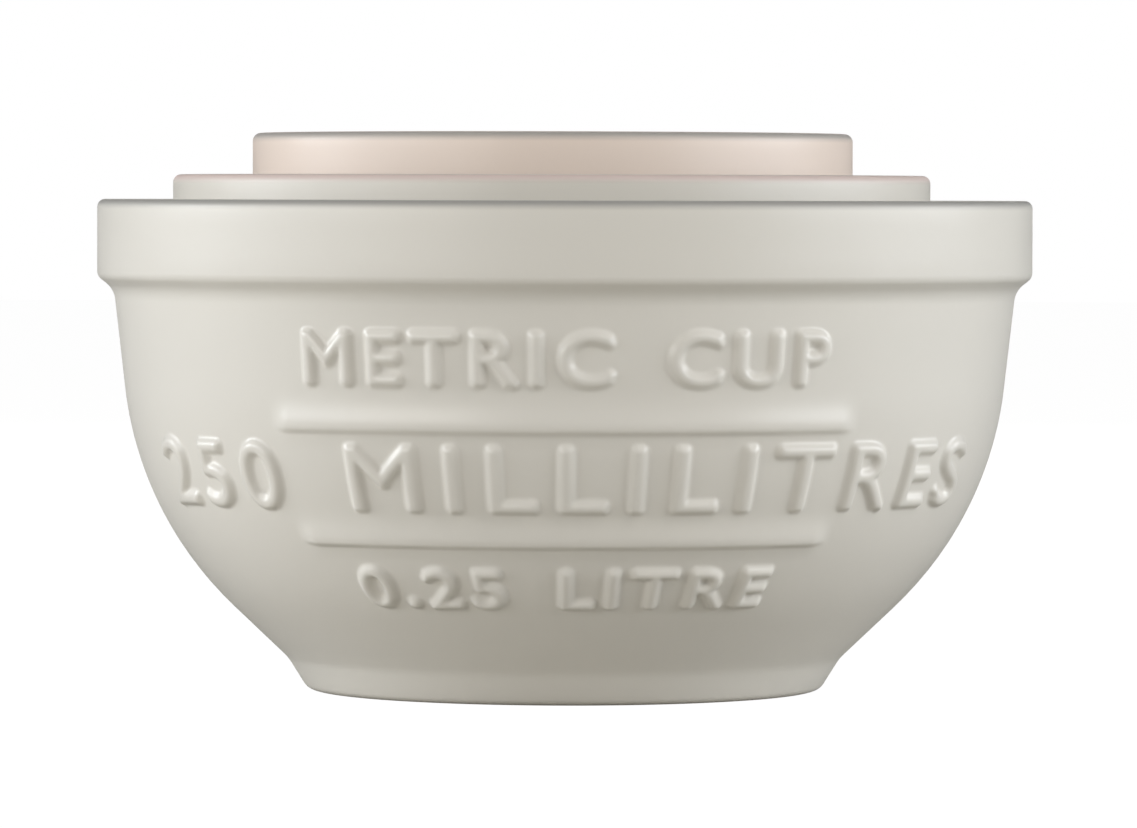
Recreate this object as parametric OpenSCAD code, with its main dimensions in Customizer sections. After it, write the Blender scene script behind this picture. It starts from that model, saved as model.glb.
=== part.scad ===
// Set of three nesting measuring cups in glazed stoneware.
// Each cup is one revolved wall: a raised collar, a tapered wall that turns through a belly
// into a sloping flank, and a foot that is hollow underneath. The small cup stands on the floor
// of the medium cup, which stands on the floor of the large one.
// Millimetres, +Z up, origin on the table at the axis of the large cup, front towards -Y.

/* [Large cup] */
// Outer diameter of the collar
large_rim_d = 106; // [95:0.5:125]
// Height from the table to the rim
large_h = 55.5; // [48:0.5:66]
// Height of the straight face of the collar
large_collar_h = 8.7; // [5:0.1:11]
// How far the collar stands out from the wall
large_collar_proud = 1.9; // [1:0.1:3]
// Thickness of the wall
large_wall = 4.5; // [3.5:0.1:6]
// Radius of the belly, between wall and flank
large_belly_r = 40.5; // [25:0.5:50]
// Diameter of the foot on the table
large_foot_d = 58.2; // [52:0.1:68]
// Height of the foot
large_foot_h = 3.6; // [2.5:0.1:5]
// Width of the ring that the cup stands on
large_foot_ring = 4.6; // [4:0.1:8]
// Depth of the hollow under the floor
large_hollow_h = 8.7; // [5:0.1:10]
// Thickness of the floor
large_floor_t = 5.3; // [4:0.1:8]

/* [Medium cup] */
// Room between its collar and the mouth of the large cup
medium_gap = 4.8; // [3:0.1:7]
// How far its rim stands above the rim of the large cup
medium_rise = 2.8; // [1:0.1:6]
// How far it lies off the axis of the large cup, along X
medium_shift = -1.5; // [-2:0.1:2]
// Height of the straight face of the collar
medium_collar_h = 6.8; // [4:0.1:9]
// How far the collar stands out from the wall
medium_collar_proud = 1.6; // [1:0.1:2.5]
// Thickness of the wall
medium_wall = 4.2; // [3.2:0.1:5.5]
// Radius of the belly, between wall and flank
medium_belly_r = 32.5; // [20:0.5:40]
// Diameter of the foot on the floor of the large cup
medium_foot_d = 47; // [42:0.5:54]
// Height of the foot
medium_foot_h = 3; // [2:0.1:4]
// Width of the ring that the cup stands on
medium_foot_ring = 4.2; // [3.5:0.1:7]
// Depth of the hollow under the floor
medium_hollow_h = 6.8; // [4.5:0.1:8]
// Thickness of the floor
medium_floor_t = 4.9; // [4:0.1:7]

/* [Small cup] */
// Room between its collar and the mouth of the medium cup
small_gap = 4; // [2.5:0.1:6]
// How far its rim stands above the rim of the medium cup
small_rise = 4.7; // [2:0.1:7]
// How far it lies off the axis of the medium cup, along X
small_shift = 0.1; // [-1.5:0.1:1.5]
// Height of the straight face of the collar
small_collar_h = 5.5; // [3:0.1:7]
// How far the collar stands out from the wall
small_collar_proud = 1.3; // [1:0.1:2]
// Thickness of the wall
small_wall = 3.9; // [3:0.1:5]
// Radius of the belly, between wall and flank
small_belly_r = 26; // [16:0.5:32]
// Diameter of the foot on the floor of the medium cup
small_foot_d = 37; // [32:0.5:42]
// Height of the foot
small_foot_h = 2.4; // [1.8:0.1:3.5]
// Width of the ring that the cup stands on
small_foot_ring = 3.5; // [3:0.1:6]
// Depth of the hollow under the floor
small_hollow_h = 6; // [4.5:0.1:7]
// Thickness of the floor
small_floor_t = 4.6; // [3.5:0.1:6.5]
// Diameter of the flat part of the floor
small_floor_d = 34; // [24:0.5:40]

/* [Shared form] */
// Lean of the walls from upright, in degrees
wall_taper = 6.5; // [4:0.1:9]
// Lean of the flanks from upright, in degrees
flank_angle = 46.4; // [42:0.1:52]
// Lean of the foot's outer face from upright, in degrees
foot_taper = 32; // [20:0.5:38]
// Fall of the collar's underside towards the wall, in degrees
collar_slope = 38; // [10:0.5:45]
// Lean of the hollow's side from upright, in degrees
hollow_draft = 8; // [3:0.5:20]
// Rounding of the rim's outer edge
rim_edge_r = 1.3; // [0.5:0.1:2]
// Rounding of the rim's inner edge
lip_r = 2.2; // [0.8:0.1:3]
// Rounding of the collar's lower edge
collar_edge_r = 1.2; // [0.4:0.1:2]
// Fillet between collar and wall
neck_fillet_r = 2.6; // [0.4:0.1:3]
// Fillet between flank and foot
heel_fillet_r = 5; // [1:0.5:8]
// Rounding of the foot ring's edges
foot_edge_r = 1.5; // [0.4:0.1:2]
// Fillet round the roof of the hollow
hollow_fillet_r = 3; // [1:0.1:4]
// Flat floor left clear round the foot of a nested cup
seat_gap = 1.2; // [0.4:0.1:3]

/* [Raised rules on the large cup] */
// Height of the upper rule above the table
upper_rule_z = 31.5; // [26:0.5:38]
// Height of the lower rule above the table
lower_rule_z = 19; // [14:0.5:24]
// Turn of the wall that each rule covers, in degrees
rule_span = 79; // [20:1:180]
// Radius of the rule's rounded face
rule_r = 1.3; // [0.8:0.1:2]
// How far a rule stands out from the belly
rule_proud = 0.9; // [0.3:0.1:1.2]

/* [Hidden] */

// Greatest distance between a rounding and the chords that draw it
chord_gap = 0.008;
// Steps of a full turn in the preview
$fn = 180;

CREAM = [0.86, 0.84, 0.79];
GREY_CREAM = [0.83, 0.82, 0.78];
BLUSH = [0.90, 0.81, 0.75];

// The sizes of one cup, and the names that read them
function spec(rim_r, height, collar_h, proud, wall, belly_r, foot_d, foot_h, ring, hollow_h, floor_t, flat_r) =
    [rim_r, height, collar_h, proud, wall, belly_r, foot_d / 2, foot_h, ring, hollow_h, floor_t, flat_r];
function rim_r(cup) = cup[0];
function height(cup) = cup[1];
function collar_z(cup) = cup[1] - cup[2];
function proud(cup) = cup[3];
function wall(cup) = cup[4];
function belly_r(cup) = cup[5];
function foot_r(cup) = cup[6];
function foot_h(cup) = cup[7];
function hollow_r(cup) = cup[6] - cup[8];
function hollow_h(cup) = cup[9];
function floor_z(cup) = cup[9] + cup[10];
function flat_r(cup) = cup[11];

// Height where the collar's underside meets the wall
function neck_z(cup) = collar_z(cup) - proud(cup) * tan(collar_slope);
// Outer radius of the tapered wall, and inner radius of the wall, at a height
function wall_r(cup, z) = rim_r(cup) - proud(cup) + (z - neck_z(cup)) * tan(wall_taper);
function bore_r(cup, z) = wall_r(cup, z) - wall(cup) / cos(wall_taper);
function mouth_r(cup) = bore_r(cup, height(cup));
// Radius where the foot meets the flank
function heel_r(cup) = foot_r(cup) + foot_h(cup) * tan(foot_taper);

// Where the line of the wall and the line of the flank cross
function belly_corner(cup) = let (
    z = foot_h(cup) + (wall_r(cup, foot_h(cup)) - heel_r(cup)) / (tan(flank_angle) - tan(wall_taper))
) [wall_r(cup, z), z];

// Half outlines, each corner as [radius, height, rounding]
function underside(cup) = [
    [0, hollow_h(cup), 0],
    [hollow_r(cup) - hollow_h(cup) * tan(hollow_draft), hollow_h(cup), hollow_fillet_r],
    [hollow_r(cup), 0, foot_edge_r]
];
function outside(cup) = [
    [foot_r(cup), 0, foot_edge_r],
    [heel_r(cup), foot_h(cup), heel_fillet_r],
    [each belly_corner(cup), belly_r(cup)],
    [wall_r(cup, neck_z(cup)), neck_z(cup), neck_fillet_r],
    [rim_r(cup), collar_z(cup), collar_edge_r],
    [rim_r(cup), height(cup), rim_edge_r]
];
function inside(cup) = let (
    corner_r = bore_r(cup, floor_z(cup)),
    cove_r = (corner_r - flat_r(cup)) / tan((90 - wall_taper) / 2)
) [
    [mouth_r(cup), height(cup), lip_r],
    [corner_r, floor_z(cup), cove_r],
    [0, floor_z(cup), 0]
];

// A line of corners drawn with a true arc's points at each one. Where two arcs would share more
// than the length between them, both are drawn in to fit.
function point(c) = [c[0], c[1]];
function side(c, i) = point(c[i + 1]) - point(c[i]);
function turn(c, i) = atan2(cross(side(c, i - 1), side(c, i)), side(c, i - 1) * side(c, i));
function reach(c, i) = c[i][2] == 0 ? 0 : c[i][2] * tan(abs(turn(c, i)) / 2);
function fitted_reach(c, i) = reach(c, i) * min(
    1,
    norm(side(c, i - 1)) / (reach(c, i - 1) + reach(c, i)),
    norm(side(c, i)) / (reach(c, i) + reach(c, i + 1))
);
function turned(v, a) = [v[0] * cos(a) - v[1] * sin(a), v[0] * sin(a) + v[1] * cos(a)];
function arc(c, i) = let (
    bend = turn(c, i),
    back = fitted_reach(c, i),
    r = back / tan(abs(bend) / 2),
    along = side(c, i - 1) / norm(side(c, i - 1)),
    spoke = turned(along, -90 * sign(bend)) * r,
    centre = point(c[i]) - along * back - spoke,
    steps = ceil(abs(bend) / (2 * acos(1 - chord_gap / r)))
) [for (k = [0:steps]) centre + turned(spoke, bend * k / steps)];
function rounded(c) = [
    for (i = [0:len(c) - 1]) each c[i][2] == 0 ? [point(c[i])] : arc(c, i)
];

function outline(cup) = rounded(concat(underside(cup), outside(cup), inside(cup)));

// Brimful capacity in millilitres, from the cones that the cavity's outline sweeps
function cone(a, b) = PI / 3 * (a[1] - b[1]) * (a[0] * a[0] + a[0] * b[0] + b[0] * b[0]);
function sum(list, i = 0) = i == len(list) ? 0 : list[i] + sum(list, i + 1);
function capacity(cup) = let (p = rounded(concat([[rim_r(cup), height(cup), 0]], inside(cup))))
    sum([for (i = [0:len(p) - 2]) cone(p[i], p[i + 1])]) / 1000;

LARGE = spec(
    large_rim_d / 2, large_h, large_collar_h, large_collar_proud, large_wall, large_belly_r,
    large_foot_d, large_foot_h, large_foot_ring, large_hollow_h, large_floor_t,
    medium_foot_d / 2 + abs(medium_shift) + seat_gap
);
medium_z = floor_z(LARGE);
MEDIUM = spec(
    mouth_r(LARGE) - medium_gap, large_h + medium_rise - medium_z,
    medium_collar_h, medium_collar_proud, medium_wall, medium_belly_r,
    medium_foot_d, medium_foot_h, medium_foot_ring, medium_hollow_h, medium_floor_t,
    small_foot_d / 2 + abs(small_shift) + seat_gap
);
small_z = medium_z + floor_z(MEDIUM);
SMALL = spec(
    mouth_r(MEDIUM) - small_gap, medium_z + height(MEDIUM) + small_rise - small_z,
    small_collar_h, small_collar_proud, small_wall, small_belly_r,
    small_foot_d, small_foot_h, small_foot_ring, small_hollow_h, small_floor_t,
    small_floor_d / 2
);
echo(capacity_ml = [capacity(LARGE), capacity(MEDIUM), capacity(SMALL)]);

module cup(cup) {
    rotate_extrude() polygon(outline(cup));
}

// A half-round bead that follows the belly across the front
module rule(cup, z) {
    surface = [for (p = rounded(concat([[0, 0, 0]], outside(cup), [[0, height(cup), 0]]))) [p[1], p[0]]];
    rotate([0, 0, -90 - rule_span / 2])
        rotate_extrude(angle = rule_span)
            translate([lookup(z, surface) + rule_proud - rule_r, z]) circle(rule_r);
}

module large_cup() {
    color(CREAM) {
        cup(LARGE);
        for (z = [upper_rule_z, lower_rule_z]) rule(LARGE, z);
    }
}

module medium_cup() {
    color(GREY_CREAM)
        translate([medium_shift, 0, medium_z]) cup(MEDIUM);
}

module small_cup() {
    color(BLUSH)
        translate([medium_shift + small_shift, 0, small_z]) cup(SMALL);
}

large_cup();
medium_cup();
small_cup();
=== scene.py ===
"""Three nesting measuring cups in glazed stoneware, dressed on their CAD frame.

Each cup is a half outline, drawn by extruding a point and spun to a full round. The large cup
has raised capacity marks and two rules across its front, softened by the glaze.
Sizes are in millimetres unless a comment says otherwise. They repeat the part's source, apart from
a smaller rounding of the rim's outer edge and a softer section of the rules. The front of the set
faces -Y.
"""
import bisect
import math

import bpy
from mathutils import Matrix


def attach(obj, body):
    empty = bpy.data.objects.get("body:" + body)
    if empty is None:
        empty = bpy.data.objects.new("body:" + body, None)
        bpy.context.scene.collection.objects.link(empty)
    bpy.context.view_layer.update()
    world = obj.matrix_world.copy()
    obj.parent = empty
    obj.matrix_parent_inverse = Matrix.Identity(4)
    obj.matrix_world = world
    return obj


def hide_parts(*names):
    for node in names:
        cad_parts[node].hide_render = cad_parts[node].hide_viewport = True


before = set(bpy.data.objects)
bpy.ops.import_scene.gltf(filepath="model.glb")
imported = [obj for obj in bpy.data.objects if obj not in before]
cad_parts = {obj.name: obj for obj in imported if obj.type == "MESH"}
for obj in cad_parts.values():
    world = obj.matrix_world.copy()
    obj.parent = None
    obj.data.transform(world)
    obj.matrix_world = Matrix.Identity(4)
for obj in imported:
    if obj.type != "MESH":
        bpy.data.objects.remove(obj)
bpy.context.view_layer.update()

MM = 0.001

# Form that the cups share: leans as tangents, roundings, and the room round a nested foot
WALL_ANGLE = math.radians(6.5)
WALL_TAPER, WALL_ACROSS = math.tan(WALL_ANGLE), 1.0 / math.cos(WALL_ANGLE)
FLANK_LEAN = math.tan(math.radians(46.4))
FOOT_LEAN = math.tan(math.radians(32.0))
COLLAR_FALL = math.tan(math.radians(38.0))
HOLLOW_LEAN = math.tan(math.radians(8.0))
RIM_EDGE_R, LIP_R, COLLAR_EDGE_R = 0.9, 2.2, 1.2
NECK_FILLET_R, HEEL_FILLET_R, FOOT_EDGE_R, HOLLOW_FILLET_R = 2.6, 5.0, 1.5, 3.0
SEAT_GAP = 1.2

# Sizes that tie the cups together: how far each rim stands above the one around it, the gap
# between a rim and the mouth around it, and how far a cup stands to the right of the one around it
LARGE_RIM_R = 53.0
LARGE_FOOT_R, MEDIUM_FOOT_R, SMALL_FOOT_R = 29.1, 23.5, 18.5
LARGE_HEIGHT, MEDIUM_RISE, SMALL_RISE = 55.5, 2.8, 4.7
MEDIUM_GAP, SMALL_GAP = 4.8, 4.0
MEDIUM_SHIFT, SMALL_SHIFT = -1.5, 0.1

# Drawing of the outlines: longest step along them, widest bend of a rounding, steps of the turn,
# how near two points are merged, and the step of the line that marks are set out along
OUTLINE_STEP = 1.9
ARC_BEND = math.radians(11.0)
TURN_STEPS = 160
MERGE_REACH = 0.002
FINE_STEP = 0.1

# Raised marks: words, height on the belly, height of the capitals, letter spacing, width factor
MARK_ROWS = (
    ("METRIC CUP", 38.5, 5.4, 1.25, 1.10),
    ("250 MILLILITRES", 25.5, 7.2, 1.27, 1.16),
    ("0.25 LITRE", 13.5, 5.0, 1.25, 1.10),
)
# Setting of the marks: word gap as a factor, a capital's share of the type size, thinning as a
# share of a capital, cuts in the flat letters, then the width of the soft shoulder, the height
# above the belly and the easing of the raised skin
WORD_GAP = 1.5
CAPITAL_SHARE = 0.682
MARK_THINNING = 0.035
MARK_CUTS = 4
MARK_SOFTNESS, MARK_PROUD = 0.9, 0.66
EASE_SHARE, EASE_PASSES = 0.5, 4
MARK_GROUP = "marks"

# Raised rules: heights on the belly, half of the turn that they cover in degrees, and their
# section, which falls away softly above the crest, and crisply with a thin tail below it
RULE_HEIGHTS = (31.5, 19.0)
RULE_HALF_TURN = 40.2
RULE_PROUD = 0.62
CREST_TOP, CREST_BOTTOM = -0.3, -0.5
SOFT_FALL, CRISP_FALL, END_FALL = 4.8, 0.9, 3.0
TAIL_SHARE, TAIL_FALL = 0.3, 2.6

# Parts of the belly that get a close mesh: lowest and highest point, half turn from the front in
# degrees. A face belongs to them if it lies no deeper than SKIN_DEPTH below the outside.
MARKED_ZONES = ((9.0, 17.4, 36.0), (17.4, 33.8, 86.0), (33.8, 43.2, 42.0))
ZONE_CUTS = 7
SKIN_DEPTH = 1.0


# Outlines

def rounded(corners, longest):
    """Points along a line of corners (radius, height, rounding), with an arc at each one."""
    sides = [(b[0] - a[0], b[1] - a[1]) for a, b in zip(corners, corners[1:])]

    def bend(i):
        (ax, ay), (bx, by) = sides[i - 1], sides[i]
        return math.atan2(ax * by - ay * bx, ax * bx + ay * by)

    def reach(i):
        return corners[i][2] * math.tan(abs(bend(i)) / 2) if corners[i][2] else 0.0

    points = []
    for i, (r, z, rounding) in enumerate(corners):
        if not rounding:
            points.append((r, z))
            continue
        turn, own = bend(i), reach(i)
        before, after = math.hypot(*sides[i - 1]), math.hypot(*sides[i])
        back = own * min(1.0, before / (reach(i - 1) + own), after / (own + reach(i + 1)))
        radius = back / math.tan(abs(turn) / 2)
        heading = math.atan2(sides[i - 1][1], sides[i - 1][0])
        start = heading - math.copysign(math.pi / 2, turn)
        centre_r = r - math.cos(heading) * back - math.cos(start) * radius
        centre_z = z - math.sin(heading) * back - math.sin(start) * radius
        steps = math.ceil(max(abs(turn) / ARC_BEND, abs(turn) * radius / longest))
        for k in range(steps + 1):
            a = start + turn * k / steps
            points.append((centre_r + radius * math.cos(a), centre_z + radius * math.sin(a)))
    return points


def filled(points, longest):
    """The same points, with more of them where two lie further apart than the longest step."""
    result = [points[0]]
    for (r0, z0), (r1, z1) in zip(points, points[1:]):
        parts = max(1, math.ceil(math.hypot(r1 - r0, z1 - z0) / longest))
        result += [(r0 + (r1 - r0) * k / parts, z0 + (z1 - z0) * k / parts)
                   for k in range(1, parts + 1)]
    return result


def cup_form(rim_r, height, collar_h, proud, wall, belly_r, foot_r, foot_h, ring, hollow_h,
             floor_t, flat_r):
    """Corners of one cup's underside, outside and inside, and where the next cup sits in it."""
    collar_z = height - collar_h
    neck_z = collar_z - proud * COLLAR_FALL

    def wall_r(z):
        return rim_r - proud + (z - neck_z) * WALL_TAPER

    def bore_r(z):
        return wall_r(z) - wall * WALL_ACROSS

    floor_z = hollow_h + floor_t
    hollow_r = foot_r - ring
    heel_r = foot_r + foot_h * FOOT_LEAN
    belly_z = foot_h + (wall_r(foot_h) - heel_r) / (FLANK_LEAN - WALL_TAPER)
    cove_turn = math.pi / 2 - WALL_ANGLE
    cove_r = (bore_r(floor_z) - flat_r) / math.tan(cove_turn / 2)
    return {
        "underside": [(0, hollow_h, 0),
                      (hollow_r - hollow_h * HOLLOW_LEAN, hollow_h, HOLLOW_FILLET_R),
                      (hollow_r, 0, FOOT_EDGE_R)],
        "outside": [(foot_r, 0, FOOT_EDGE_R), (heel_r, foot_h, HEEL_FILLET_R),
                    (wall_r(belly_z), belly_z, belly_r), (wall_r(neck_z), neck_z, NECK_FILLET_R),
                    (rim_r, collar_z, COLLAR_EDGE_R), (rim_r, height, RIM_EDGE_R)],
        "inside": [(bore_r(height), height, LIP_R), (bore_r(floor_z), floor_z, cove_r),
                   (0, floor_z, 0)],
        "mouth_r": bore_r(height), "floor_z": floor_z,
    }


large_form = cup_form(
    rim_r=LARGE_RIM_R, height=LARGE_HEIGHT, collar_h=8.7, proud=1.9, wall=4.5, belly_r=40.5,
    foot_r=LARGE_FOOT_R, foot_h=3.6, ring=4.6, hollow_h=8.7, floor_t=5.3,
    flat_r=MEDIUM_FOOT_R + abs(MEDIUM_SHIFT) + SEAT_GAP)
medium_rim_r = large_form["mouth_r"] - MEDIUM_GAP
medium_z = large_form["floor_z"]
medium_top = LARGE_HEIGHT + MEDIUM_RISE
medium_form = cup_form(
    rim_r=medium_rim_r, height=medium_top - medium_z, collar_h=6.8, proud=1.6, wall=4.2,
    belly_r=32.5, foot_r=MEDIUM_FOOT_R, foot_h=3.0, ring=4.2, hollow_h=6.8, floor_t=4.9,
    flat_r=SMALL_FOOT_R + abs(SMALL_SHIFT) + SEAT_GAP)
small_rim_r = medium_form["mouth_r"] - SMALL_GAP
small_x = MEDIUM_SHIFT + SMALL_SHIFT
small_z = medium_z + medium_form["floor_z"]
small_top = medium_top + SMALL_RISE
small_form = cup_form(
    rim_r=small_rim_r, height=small_top - small_z, collar_h=5.5, proud=1.3, wall=3.9,
    belly_r=26.0, foot_r=SMALL_FOOT_R, foot_h=2.4, ring=3.5, hollow_h=6.0, floor_t=4.6,
    flat_r=17.0)


class Belly:
    """The outside of the large cup as a line that marks can be set out along."""

    def __init__(self, form):
        corners = form["underside"][:1] + form["outside"] + form["inside"][-1:]
        line = filled(rounded(corners, FINE_STEP), FINE_STEP)
        lowest = line.index(min(line[1:-1], key=lambda point: (point[1], point[0])))
        self.radii, self.heights, self.lengths = [], [], []
        length = 0.0
        for r, z in line[lowest:]:
            if self.heights:
                if z <= self.heights[-1]:
                    continue
                length += math.hypot(r - self.radii[-1], z - self.heights[-1])
            self.radii.append(r)
            self.heights.append(z)
            self.lengths.append(length)

    @staticmethod
    def between(keys, values, key):
        i = min(max(bisect.bisect_right(keys, key), 1), len(keys) - 1)
        share = (key - keys[i - 1]) / (keys[i] - keys[i - 1])
        return values[i - 1] + (values[i] - values[i - 1]) * share

    def radius(self, z):
        return self.between(self.heights, self.radii, z)

    def length(self, z):
        return self.between(self.heights, self.lengths, z)

    def climb(self, z, along):
        """The height reached from z by going some way up along the outline."""
        return self.between(self.lengths, self.heights, self.length(z) + along)


# Modelling

def start_piece():
    """Leave nothing selected, so an operator works on the new piece alone."""
    if bpy.context.object and bpy.context.object.mode != "OBJECT":
        bpy.ops.object.mode_set(mode="OBJECT")
    bpy.ops.object.select_all(action="DESELECT")


def work_on(piece):
    """Make a finished piece the only one that operators work on."""
    start_piece()
    piece.select_set(True)
    bpy.context.view_layer.objects.active = piece


def turn_cup(name, form, x, z):
    """Draw half the outline of a cup by extruding a point, and spin it about the cup's axis."""
    corners = form["underside"] + form["outside"] + form["inside"]
    line = filled(rounded(corners, OUTLINE_STEP), OUTLINE_STEP)
    start_piece()
    bpy.ops.mesh.primitive_plane_add(size=MM)
    cup = bpy.context.object
    cup.name = cup.data.name = name
    bpy.ops.object.mode_set(mode="EDIT")
    bpy.ops.mesh.select_all(action="SELECT")
    bpy.ops.mesh.merge(type="CENTER")
    bpy.ops.transform.translate(value=(line[0][0] * MM, 0.0, line[0][1] * MM))
    for (r0, z0), (r1, z1) in zip(line, line[1:]):
        bpy.ops.mesh.extrude_region_move(
            TRANSFORM_OT_translate={"value": ((r1 - r0) * MM, 0.0, (z1 - z0) * MM)})
    bpy.ops.mesh.select_all(action="SELECT")
    bpy.ops.mesh.spin(steps=TURN_STEPS, angle=math.tau, center=(0, 0, 0), axis=(0, 0, 1))
    bpy.ops.mesh.select_all(action="SELECT")
    bpy.ops.mesh.remove_doubles(threshold=MERGE_REACH * MM)
    bpy.ops.mesh.normals_make_consistent(inside=False)
    bpy.ops.transform.translate(value=(x * MM, 0.0, z * MM))
    bpy.ops.mesh.faces_shade_smooth()
    bpy.ops.object.mode_set(mode="OBJECT")
    return cup


def from_front(point):
    """Turn of a point from the front of the large cup, in degrees."""
    return math.degrees(math.atan2(point.x, -point.y))


def close_mesh(cup, belly):
    """Subdivide the marked zones of the belly and bring the new points out to its true round."""
    work_on(cup)
    mesh = cup.data
    for element in (*mesh.vertices, *mesh.edges):
        element.select = False
    for face in mesh.polygons:
        z, turn = face.center.z / MM, abs(from_front(face.center))
        r = math.hypot(face.center.x, face.center.y) / MM
        face.select = r > belly.radius(z) - SKIN_DEPTH and any(
            low < z < high and turn < half for low, high, half in MARKED_ZONES)
    bpy.ops.object.mode_set(mode="EDIT")
    bpy.ops.mesh.select_mode(type="FACE")
    bpy.ops.mesh.subdivide(number_cuts=ZONE_CUTS)
    bpy.ops.object.mode_set(mode="OBJECT")
    marked = [v for v in mesh.vertices if v.select]
    for vertex in marked:
        turn = math.atan2(vertex.co.y, vertex.co.x)
        r = belly.radius(vertex.co.z / MM) * MM
        vertex.co.x, vertex.co.y = r * math.cos(turn), r * math.sin(turn)
    return [v.index for v in marked]


def eased(share):
    """A share from 0 to 1 with a soft start and a soft end."""
    share = min(max(share, 0.0), 1.0)
    return share * share * (3.0 - 2.0 * share)


def raise_rules(cup, indices, belly):
    """Draw the belly out into the two rules."""
    moves = []
    for vertex in [cup.data.vertices[i] for i in indices]:
        turn, z = abs(from_front(vertex.co)), vertex.co.z / MM
        for rule_z in RULE_HEIGHTS:
            along = belly.length(z) - belly.length(rule_z)
            above, below = max(along - CREST_TOP, 0.0), max(CREST_BOTTOM - along, 0.0)
            rise = eased(max(1.0 - above / SOFT_FALL, 0.0) ** 2)
            drop = (1.0 - TAIL_SHARE) * eased(1.0 - below / CRISP_FALL)
            tail = TAIL_SHARE * eased(1.0 - below / TAIL_FALL)
            inside = math.radians(RULE_HALF_TURN - turn) * belly.radius(rule_z)
            share = rise * (drop + tail) * eased(inside / END_FALL)
            if share > 0.0:
                moves.append((vertex, vertex.normal * (share * RULE_PROUD * MM)))
    for vertex, move in moves:
        vertex.co += move


def wrap(guide, belly, z):
    """Lay a flat guide round the belly, its middle at a height on the front."""
    row_r = belly.radius(z) * MM
    for vertex in guide.data.vertices:
        turn = vertex.co.x / row_r
        height = belly.climb(z, vertex.co.y / MM)
        r = belly.radius(height) * MM
        vertex.co = (r * math.sin(turn), -r * math.cos(turn), height * MM)


def mark_guide(belly, words, z, capital, spacing, width):
    """One row of capitals as a flat mesh, wrapped on the belly."""
    start_piece()
    bpy.ops.object.text_add()
    guide = bpy.context.object
    guide.data.body = words
    guide.data.size = capital * MM / CAPITAL_SHARE
    guide.data.space_character = spacing
    guide.data.space_word = WORD_GAP
    guide.data.offset = -MARK_THINNING * capital * MM
    guide.data.align_x = "CENTER"
    bpy.ops.object.convert(target="MESH")
    bpy.ops.object.mode_set(mode="EDIT")
    bpy.ops.mesh.select_all(action="SELECT")
    bpy.ops.transform.translate(value=(0.0, -capital / 2 * MM, 0.0))
    bpy.ops.transform.resize(value=(width, 1.0, 1.0), center_override=(0, 0, 0))
    bpy.ops.mesh.subdivide(number_cuts=MARK_CUTS)
    bpy.ops.object.mode_set(mode="OBJECT")
    wrap(guide, belly, z)
    return guide


def raise_marks(cup, indices, guides):
    """Push the cup's skin out over the guides, with a soft shoulder, and take them away."""
    start_piece()
    for guide in guides:
        guide.select_set(True)
    bpy.context.view_layer.objects.active = guides[0]
    bpy.ops.object.join()
    guide = bpy.context.object
    cup.vertex_groups.new(name=MARK_GROUP).add(indices, 1.0, "REPLACE")
    work_on(cup)
    near = cup.modifiers.new("near_marks", "VERTEX_WEIGHT_PROXIMITY")
    near.vertex_group = MARK_GROUP
    near.target = guide
    near.proximity_mode = "GEOMETRY"
    near.proximity_geometry = {"FACE"}
    near.min_dist = MARK_SOFTNESS * MM
    near.max_dist = 0.0
    near.falloff_type = "SMOOTH"
    bpy.ops.object.modifier_apply(modifier=near.name)
    out = cup.modifiers.new("raise_marks", "DISPLACE")
    out.vertex_group = MARK_GROUP
    out.direction = "NORMAL"
    out.mid_level = 0.0
    out.strength = MARK_PROUD * MM
    bpy.ops.object.modifier_apply(modifier=out.name)
    ease = cup.modifiers.new("ease_marks", "SMOOTH")
    ease.vertex_group = MARK_GROUP
    ease.factor = EASE_SHARE
    ease.iterations = EASE_PASSES
    bpy.ops.object.modifier_apply(modifier=ease.name)
    bpy.data.objects.remove(guide, do_unlink=True)


large_cup = turn_cup("glazed_large_cup", large_form, 0.0, 0.0)
medium_cup = turn_cup("glazed_medium_cup", medium_form, MEDIUM_SHIFT, medium_z)
small_cup = turn_cup("glazed_small_cup", small_form, small_x, small_z)

belly = Belly(large_form)
marked = close_mesh(large_cup, belly)
raise_rules(large_cup, marked, belly)
rows = [mark_guide(belly, *row) for row in MARK_ROWS]
raise_marks(large_cup, marked, rows)


# Glaze

# Each glaze as it lies on the wall, where it gathers thick, and a painted shade on the rim's outer
# edge, darkened to stand in for the shade and dark reflection there (pinkish on the medium cup)
CREAM = ((0.77, 0.742, 0.685), (0.74, 0.705, 0.642), (0.345, 0.335, 0.316))
GREY_CREAM = ((0.73, 0.70, 0.64), (0.70, 0.67, 0.605), (0.65, 0.535, 0.497))
BLUSH = ((0.83, 0.715, 0.635), (0.80, 0.68, 0.592), (0.39, 0.366, 0.342))
CLAY = (0.62, 0.53, 0.43)
# Noise of the tone, the gloss and the ripple: scale per metre and detail
CLOUD_NOISE, GLOSS_NOISE, RIPPLE_NOISE = (30.0, 1.5), (90.0, 2.0), (260.0, 2.0)
CLOUD_SPAN, CLOUD_SHARE = (0.25, 0.75), 0.3
GLOSS_SPAN, GLOSS_ROUGHNESS = (0.3, 0.7), (0.30, 0.36)
EDGE_ROUGHNESS, CLAY_ROUGHNESS = 0.6, 0.8
# Bands over which the painted rim shade fades, below the rim and inwards from it, and the bare foot
# upwards
RIM_SHADE_DOWN, RIM_SHADE_INWARDS, FOOT_UP = (0.2, 1.15), (0.4, 0.95), (0.04, 0.14)
GLAZE_IOR, GLAZE_SPECULAR = 1.5, 0.4
RIPPLE_STRENGTH, RIPPLE_DEPTH = 0.2, 0.12


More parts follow.
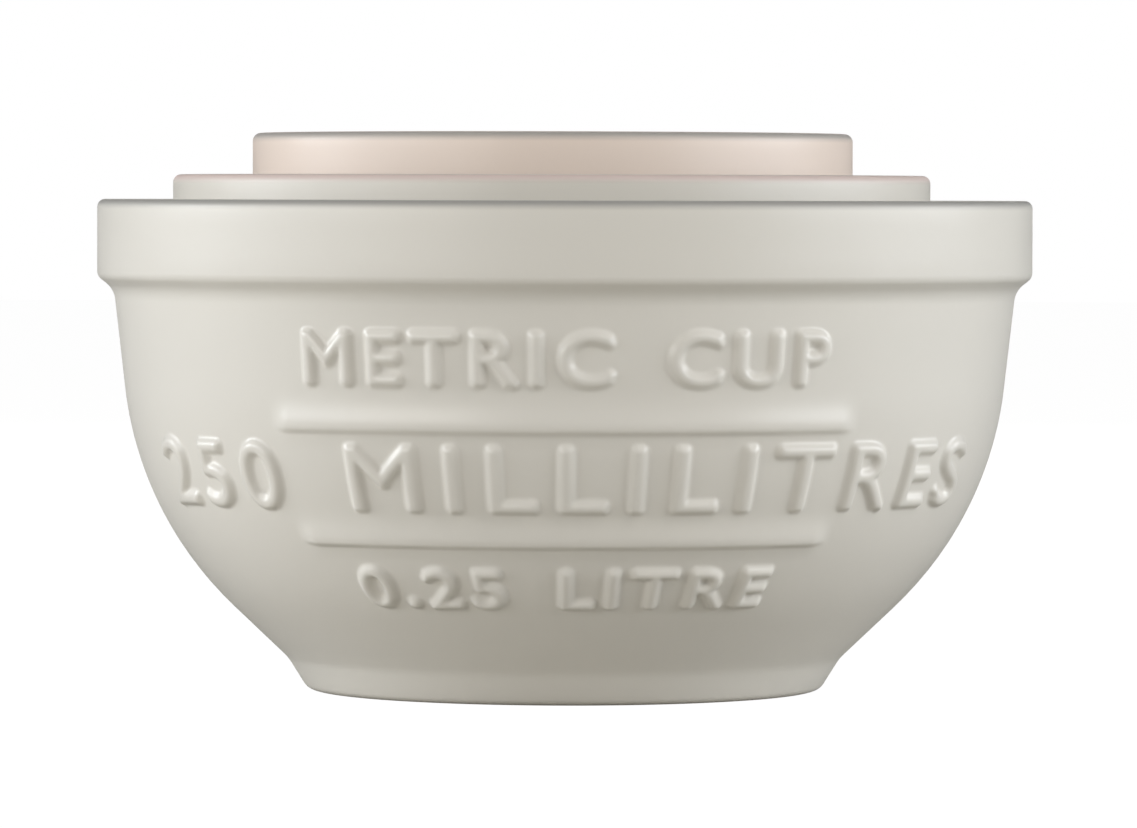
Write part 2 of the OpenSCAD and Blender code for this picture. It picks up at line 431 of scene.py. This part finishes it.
def new_group(name, inputs, outputs):
    """A shader node group with named sockets, and its two end nodes."""
    group = bpy.data.node_groups.new(name, "ShaderNodeTree")
    for in_out, sockets in (("INPUT", inputs), ("OUTPUT", outputs)):
        for socket_name, kind in sockets:
            group.interface.new_socket(socket_name, in_out=in_out, socket_type=kind)
    return group, group.nodes.new("NodeGroupInput"), group.nodes.new("NodeGroupOutput")


def noise(tree, vector, scale, detail):
    """A cloudy value from 0 to 1 over the surface."""
    node = tree.nodes.new("ShaderNodeTexNoise")
    node.inputs["Scale"].default_value = scale
    node.inputs["Detail"].default_value = detail
    tree.links.new(vector, node.inputs["Vector"])
    return node.outputs["Fac"]


def ranged(tree, value, source, target, smooth=False):
    """A value carried over from one span to another, and held at its ends."""
    node = tree.nodes.new("ShaderNodeMapRange")
    if smooth:
        node.interpolation_type = "SMOOTHSTEP"
    for socket, number in zip(("From Min", "From Max", "To Min", "To Max"), (*source, *target)):
        node.inputs[socket].default_value = number
    tree.links.new(value, node.inputs["Value"])
    return node.outputs["Result"]


def fading(tree, length, band):
    """A mask that is full before a band and gone beyond it."""
    return ranged(tree, length, [end * MM for end in band], (1.0, 0.0), smooth=True)


def mixed(tree, share, first, second):
    """One colour with a share of another."""
    node = tree.nodes.new("ShaderNodeMix")
    node.data_type = "RGBA"
    tree.links.new(share, node.inputs["Factor"])
    tree.links.new(first, node.inputs["A"])
    tree.links.new(second, node.inputs["B"])
    return node.outputs["Result"]


def mixed_value(tree, share, first, second):
    """One value with a share of a plain number."""
    node = tree.nodes.new("ShaderNodeMix")
    tree.links.new(share, node.inputs["Factor"])
    tree.links.new(first, node.inputs["A"])
    node.inputs["B"].default_value = second
    return node.outputs["Result"]


def calculated(tree, operation, first, second=None):
    """A Math node on sockets or plain numbers."""
    node = tree.nodes.new("ShaderNodeMath")
    node.operation = operation
    for socket, value in zip(node.inputs, (first, second)):
        if isinstance(value, bpy.types.NodeSocket):
            tree.links.new(value, socket)
        elif value is not None:
            socket.default_value = value
    return node.outputs["Value"]


def glaze_group():
    """Poured glaze: a cloudy tone, a painted shade over the rim's outer edge, and none under the
    foot.
    """
    colour, value = "NodeSocketColor", "NodeSocketFloat"
    group, given, result = new_group(
        "glaze_with_painted_rim_shade",
        (("Glaze", colour), ("Thick Glaze", colour), ("Painted Rim Shade", colour),
         ("Bare Clay", colour), ("Foot Height", value), ("Rim Height", value),
         ("Rim Radius", value), ("Axis X", value)),
        (("Colour", colour), ("Roughness", value), ("Height", value)))
    place = group.nodes.new("ShaderNodeTexCoord").outputs["Object"]
    split = group.nodes.new("ShaderNodeSeparateXYZ")
    group.links.new(place, split.inputs["Vector"])
    x, y, z = (split.outputs[axis] for axis in "XYZ")

    clouds = ranged(group, noise(group, place, *CLOUD_NOISE), CLOUD_SPAN, (0.0, CLOUD_SHARE))
    tone = mixed(group, clouds, given.outputs["Glaze"], given.outputs["Thick Glaze"])

    across = calculated(group, "SUBTRACT", x, given.outputs["Axis X"])
    radius = calculated(group, "SQRT", calculated(
        group, "ADD", calculated(group, "MULTIPLY", across, across),
        calculated(group, "MULTIPLY", y, y)))
    below_rim = calculated(group, "SUBTRACT", given.outputs["Rim Height"], z)
    within_rim = calculated(group, "SUBTRACT", given.outputs["Rim Radius"], radius)
    # Painted shade: the rim's rounded outer edge is darkened in colour and made rougher, in place
    # of the dark that it reflects
    rim_shade_mask = calculated(group, "MULTIPLY", fading(group, below_rim, RIM_SHADE_DOWN),
                      fading(group, within_rim, RIM_SHADE_INWARDS))
    tone = mixed(group, rim_shade_mask, tone, given.outputs["Painted Rim Shade"])

    above_foot = calculated(group, "SUBTRACT", z, given.outputs["Foot Height"])
    bare = fading(group, above_foot, FOOT_UP)
    tone = mixed(group, bare, tone, given.outputs["Bare Clay"])
    gloss = ranged(group, noise(group, place, *GLOSS_NOISE), GLOSS_SPAN, GLOSS_ROUGHNESS)
    gloss = mixed_value(group, rim_shade_mask, gloss, EDGE_ROUGHNESS)
    gloss = mixed_value(group, bare, gloss, CLAY_ROUGHNESS)
    group.links.new(tone, result.inputs["Colour"])
    group.links.new(gloss, result.inputs["Roughness"])
    group.links.new(noise(group, place, *RIPPLE_NOISE), result.inputs["Height"])
    return group


glaze_with_painted_rim_shade = glaze_group()


def glaze(name, shades, foot_z, rim_z, rim_r, axis_x):
    """One cup's glaze over its clay."""
    material = bpy.data.materials.new(name)
    material.use_nodes = True
    tree = material.node_tree
    shader = tree.nodes["Principled BSDF"]
    shader.inputs["IOR"].default_value = GLAZE_IOR
    shader.inputs["Specular IOR Level"].default_value = GLAZE_SPECULAR
    coat = tree.nodes.new("ShaderNodeGroup")
    coat.node_tree = glaze_with_painted_rim_shade
    for socket, shade in zip(("Glaze", "Thick Glaze", "Painted Rim Shade", "Bare Clay"),
                             (*shades, CLAY)):
        coat.inputs[socket].default_value = (*shade, 1)
    for socket, size in (("Foot Height", foot_z), ("Rim Height", rim_z), ("Rim Radius", rim_r),
                         ("Axis X", axis_x)):
        coat.inputs[socket].default_value = size * MM
    tree.links.new(coat.outputs["Colour"], shader.inputs["Base Color"])
    tree.links.new(coat.outputs["Roughness"], shader.inputs["Roughness"])
    ripple = tree.nodes.new("ShaderNodeBump")
    ripple.inputs["Strength"].default_value = RIPPLE_STRENGTH
    ripple.inputs["Distance"].default_value = RIPPLE_DEPTH * MM
    tree.links.new(coat.outputs["Height"], ripple.inputs["Height"])
    tree.links.new(ripple.outputs["Normal"], shader.inputs["Normal"])
    return material


cream = glaze("cream_glaze", CREAM, 0.0, LARGE_HEIGHT, LARGE_RIM_R, 0.0)
grey_cream = glaze("grey_cream_glaze", GREY_CREAM, medium_z, medium_top, medium_rim_r,
                   MEDIUM_SHIFT)
blush = glaze("blush_glaze", BLUSH, small_z, small_top, small_rim_r, small_x)

for piece, finish, body, slot in ((large_cup, cream, "large_cup", "cream_glaze"),
                                  (medium_cup, grey_cream, "medium_cup", "grey_cream_glaze"),
                                  (small_cup, blush, "small_cup", "blush_glaze")):
    piece.data.materials.clear()
    piece.data.materials.append(finish)
    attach(piece, body)
    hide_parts(body)


# Floor, light and camera

# The floor's side in metres and cells along it, its tone as a lit table and as the glaze mirrors
# it, and the white glow that takes over most of what the camera sees of it
FLOOR_SIDE, FLOOR_CELLS, FLOOR_ROUGHNESS = 6.0, 8, 0.9
FLOOR_TONE, FLOOR_IN_GLAZE = (0.505, 0.485, 0.437), (0.1, 0.1, 0.1)
FLOOR_GLOW, GLOW_SHARE = 1.12, 0.88
ROOM_TINT, ROOM_STRENGTH = (1.0, 0.98, 0.95), 0.02
COOL_LIGHT, WARM_LIGHT = (0.92, 0.958, 1.0), (1.0, 0.98, 0.94)
# How far a softbox stands from the point that it is aimed at, and that point's height, in metres
LAMP_REACH, LAMP_AIM_Z = 0.9, 0.03
# Softboxes: lift in degrees, width and height in metres, and tint, then each one's turn from the
# front to the right in degrees, with its watts
SOFTBOXES = {
    "side_softbox": (14.0, 0.48, 0.24, COOL_LIGHT,
                     ((-97, 3.72), (-67, 1.99), (67, 2.7), (97, 3.05))),
    "front_softbox": (14.0, 0.48, 0.24, WARM_LIGHT, ((-38, 2.05), (38, 0.25))),
    "upper_softbox": (42.0, 0.36, 0.30, WARM_LIGHT, ((-75, 0.2), (40, 1.45))),
    "overhead_softbox": (89.0, 0.6, 0.6, WARM_LIGHT, ((0, 1.2),)),
    "back_softbox": (20.0, 0.6, 0.24, WARM_LIGHT, ((180, 2.8),)),
}
FILL_SOFTBOXES = ("overhead_softbox", "back_softbox")
# The camera's place, its pitch downwards and its roll to the left in degrees, and its lens
CAMERA_PLACE = (0.40, -812.6, 55.94)
CAMERA_PITCH, CAMERA_ROLL = 1.745, 0.14
CAMERA_LENS, CAMERA_SENSOR, CAMERA_NEAR = 226.5, 36.0, 10.0


def pale_floor():
    """A white table that fills the view; it throws back part of the light and hardly mirrors."""
    start_piece()
    bpy.ops.mesh.primitive_grid_add(
        x_subdivisions=FLOOR_CELLS, y_subdivisions=FLOOR_CELLS, size=FLOOR_SIDE)
    floor = bpy.context.object
    floor.name = floor.data.name = "pale_floor"
    material = bpy.data.materials.new("pale_floor")
    material.use_nodes = True
    tree = material.node_tree
    shader = tree.nodes["Principled BSDF"]
    shader.inputs["Roughness"].default_value = FLOOR_ROUGHNESS
    sight = tree.nodes.new("ShaderNodeLightPath")
    tone = tree.nodes.new("ShaderNodeMix")
    tone.data_type = "RGBA"
    tone.inputs["A"].default_value = (*FLOOR_TONE, 1)
    tone.inputs["B"].default_value = (*FLOOR_IN_GLAZE, 1)
    tree.links.new(sight.outputs["Is Glossy Ray"], tone.inputs["Factor"])
    tree.links.new(tone.outputs["Result"], shader.inputs["Base Color"])
    glow = tree.nodes.new("ShaderNodeEmission")
    glow.inputs["Strength"].default_value = FLOOR_GLOW
    share = calculated(tree, "MULTIPLY", sight.outputs["Is Camera Ray"], GLOW_SHARE)
    blend = tree.nodes.new("ShaderNodeMixShader")
    tree.links.new(share, blend.inputs["Fac"])
    tree.links.new(shader.outputs["BSDF"], blend.inputs[1])
    tree.links.new(glow.outputs["Emission"], blend.inputs[2])
    tree.links.new(blend.outputs["Shader"], tree.nodes["Material Output"].inputs["Surface"])
    floor.data.materials.append(material)


def white_surround():
    """White behind the set, and a dimmer room for what the glaze reflects."""
    world = bpy.data.worlds.new("studio")
    bpy.context.scene.world = world
    world.use_nodes = True
    tree = world.node_tree
    room = tree.nodes["Background"]
    room.inputs["Color"].default_value = (*ROOM_TINT, 1)
    room.inputs["Strength"].default_value = ROOM_STRENGTH
    white = tree.nodes.new("ShaderNodeBackground")
    white.inputs["Color"].default_value = (1, 1, 1, 1)
    sight = tree.nodes.new("ShaderNodeLightPath")
    blend = tree.nodes.new("ShaderNodeMixShader")
    tree.links.new(sight.outputs["Is Camera Ray"], blend.inputs["Fac"])
    tree.links.new(room.outputs["Background"], blend.inputs[1])
    tree.links.new(white.outputs["Background"], blend.inputs[2])
    tree.links.new(blend.outputs["Shader"], tree.nodes["World Output"].inputs["Surface"])


def softbox(name, lift, width, height, tint, turn, watts):
    """One soft panel, aimed at the middle of the set. A fill one makes no highlights."""
    start_piece()
    turn, lift = math.radians(turn), math.radians(lift)
    level = LAMP_REACH * math.cos(lift)
    bpy.ops.object.light_add(
        type="AREA", rotation=(math.pi / 2 - lift, 0.0, turn),
        location=(level * math.sin(turn), -level * math.cos(turn),
                  LAMP_REACH * math.sin(lift) + LAMP_AIM_Z))
    lamp = bpy.context.object
    lamp.name = lamp.data.name = name
    lamp.data.shape = "RECTANGLE"
    lamp.data.size, lamp.data.size_y = width, height
    lamp.data.color = tint
    lamp.data.energy = watts
    lamp.visible_camera = False
    lamp.visible_glossy = name not in FILL_SOFTBOXES


def front_camera():
    """A long lens from the front, level with the large rim and looking a little down."""
    start_piece()
    bpy.ops.object.camera_add(
        location=[length * MM for length in CAMERA_PLACE],
        rotation=(math.radians(90.0 - CAMERA_PITCH), math.radians(-CAMERA_ROLL), 0.0))
    camera = bpy.context.object
    camera.name = camera.data.name = "front_camera"
    camera.data.sensor_width = CAMERA_SENSOR
    camera.data.lens = CAMERA_LENS
    camera.data.clip_start = CAMERA_NEAR * MM
    bpy.context.scene.camera = camera


pale_floor()
white_surround()
for name, (*panel, places) in SOFTBOXES.items():
    for turn, watts in places:
        softbox(name, *panel, turn, watts)
front_camera()
bpy.context.scene.view_settings.view_transform = "Standard"
